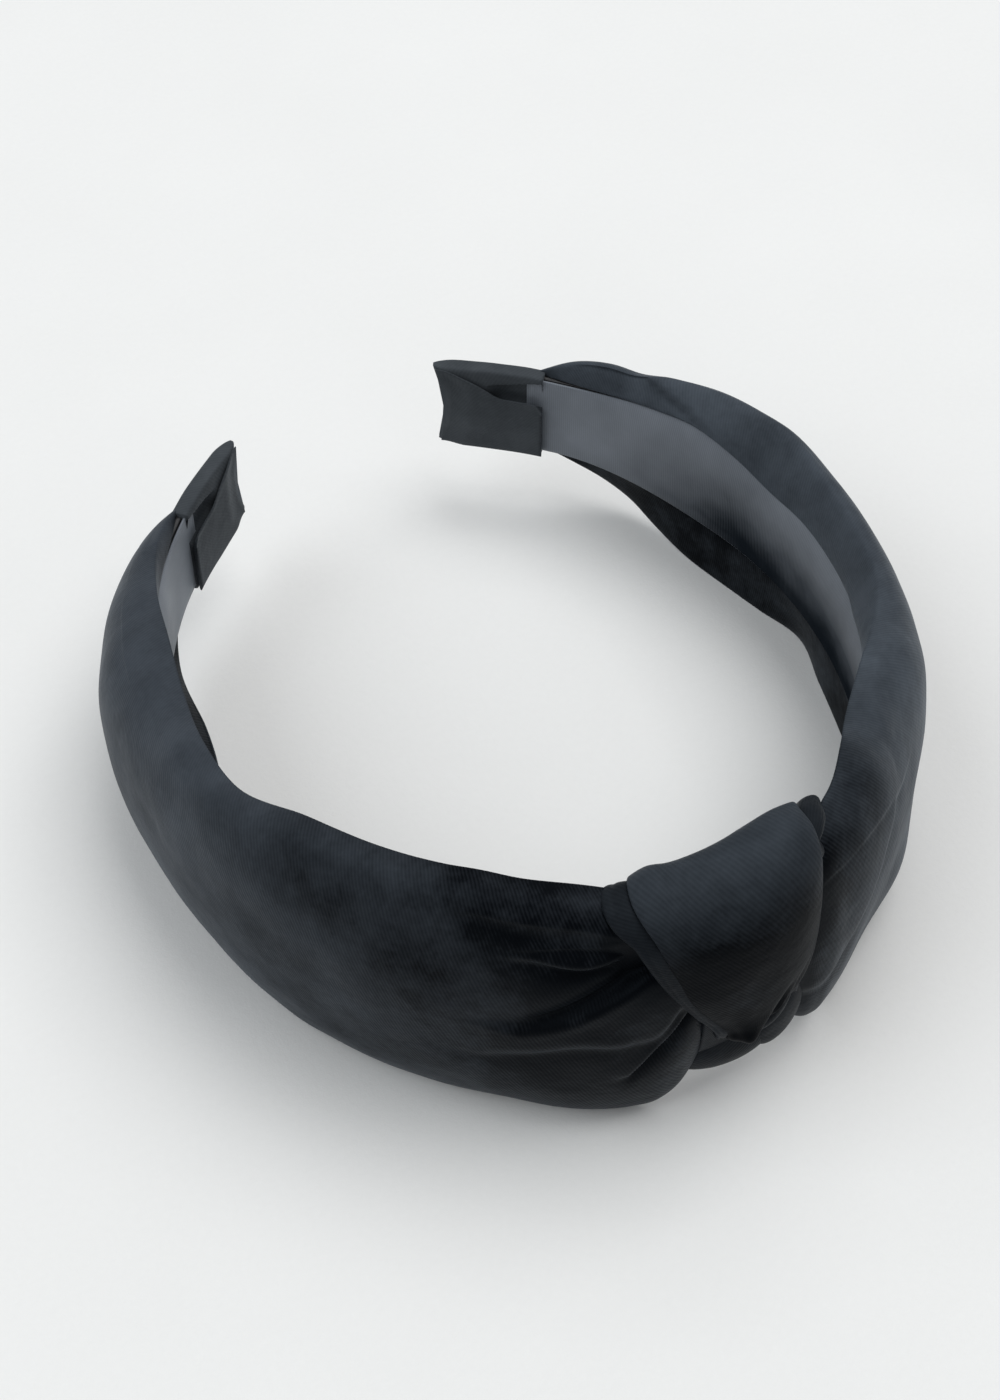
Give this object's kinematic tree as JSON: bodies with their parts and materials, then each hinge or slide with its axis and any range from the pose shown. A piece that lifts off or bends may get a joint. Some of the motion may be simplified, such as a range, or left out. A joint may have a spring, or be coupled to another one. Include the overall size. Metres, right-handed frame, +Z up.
{
  "type": "knotted headband",
  "caption": "Wide soft fabric headband with a knot at the crown, on a springy ribbon-lined hoop whose arms flex open over the head.",
  "frame": {"origin": "centre of the bounding box's plan, on the surface that the headband's lower edges rest on", "axes": "+Z up across the headband's width as it lies on its edge, +Y from the knot at the crown towards the open tips, +X towards the right arm"},
  "size_m": [0.1468, 0.1608, 0.0619],
  "materials": {
    "hoop_plastic": "black moulded plastic, slightly satin",
    "lining_ribbon": "dark grey satin ribbon",
    "padding_felt": "thin dark felt",
    "wing_satin": "black twill-weave satin, soft sheen",
    "wrap_satin": "black twill-weave satin, folded and glued"
  },
  "bodies": {
    "crown": {"core_crown": "hoop_plastic", "lining_crown": "lining_ribbon", "padding_crown": "padding_felt", "throat_left": "wing_satin", "throat_right": "wing_satin", "knot_bundle": "wing_satin", "knot_front_panel": "wing_satin", "knot_edge_roll": "wing_satin", "knot_top_tuck": "wing_satin", "knot_lower_fold": "wing_satin", "knot_side_fold": "wing_satin"},
    "arm_left": {"core_left": "hoop_plastic", "lining_left": "lining_ribbon", "padding_left": "padding_felt", "wing_left": "wing_satin", "tip_wrap_left": "wrap_satin", "tip_flap_left": "wrap_satin"},
    "arm_right": {"core_right": "hoop_plastic", "lining_right": "lining_ribbon", "padding_right": "padding_felt", "wing_right": "wing_satin", "tip_wrap_right": "wrap_satin", "tip_flap_right": "wrap_satin"}
  },
  "joints": [
    {"name": "flex_left", "type": "hinge", "parent": "crown", "child": "arm_left", "pos_m": [-0.02309, -0.06437, 0.0255], "axis": [0, 0, 1], "range_deg": [-5, 18], "stiffness_Nm_per_rad": 1},
    {"name": "flex_right", "type": "hinge", "parent": "crown", "child": "arm_right", "pos_m": [0.0234, -0.06437, 0.0255], "axis": [0, 0, -1], "range_deg": [-5, 18], "stiffness_Nm_per_rad": 1}
  ]
}
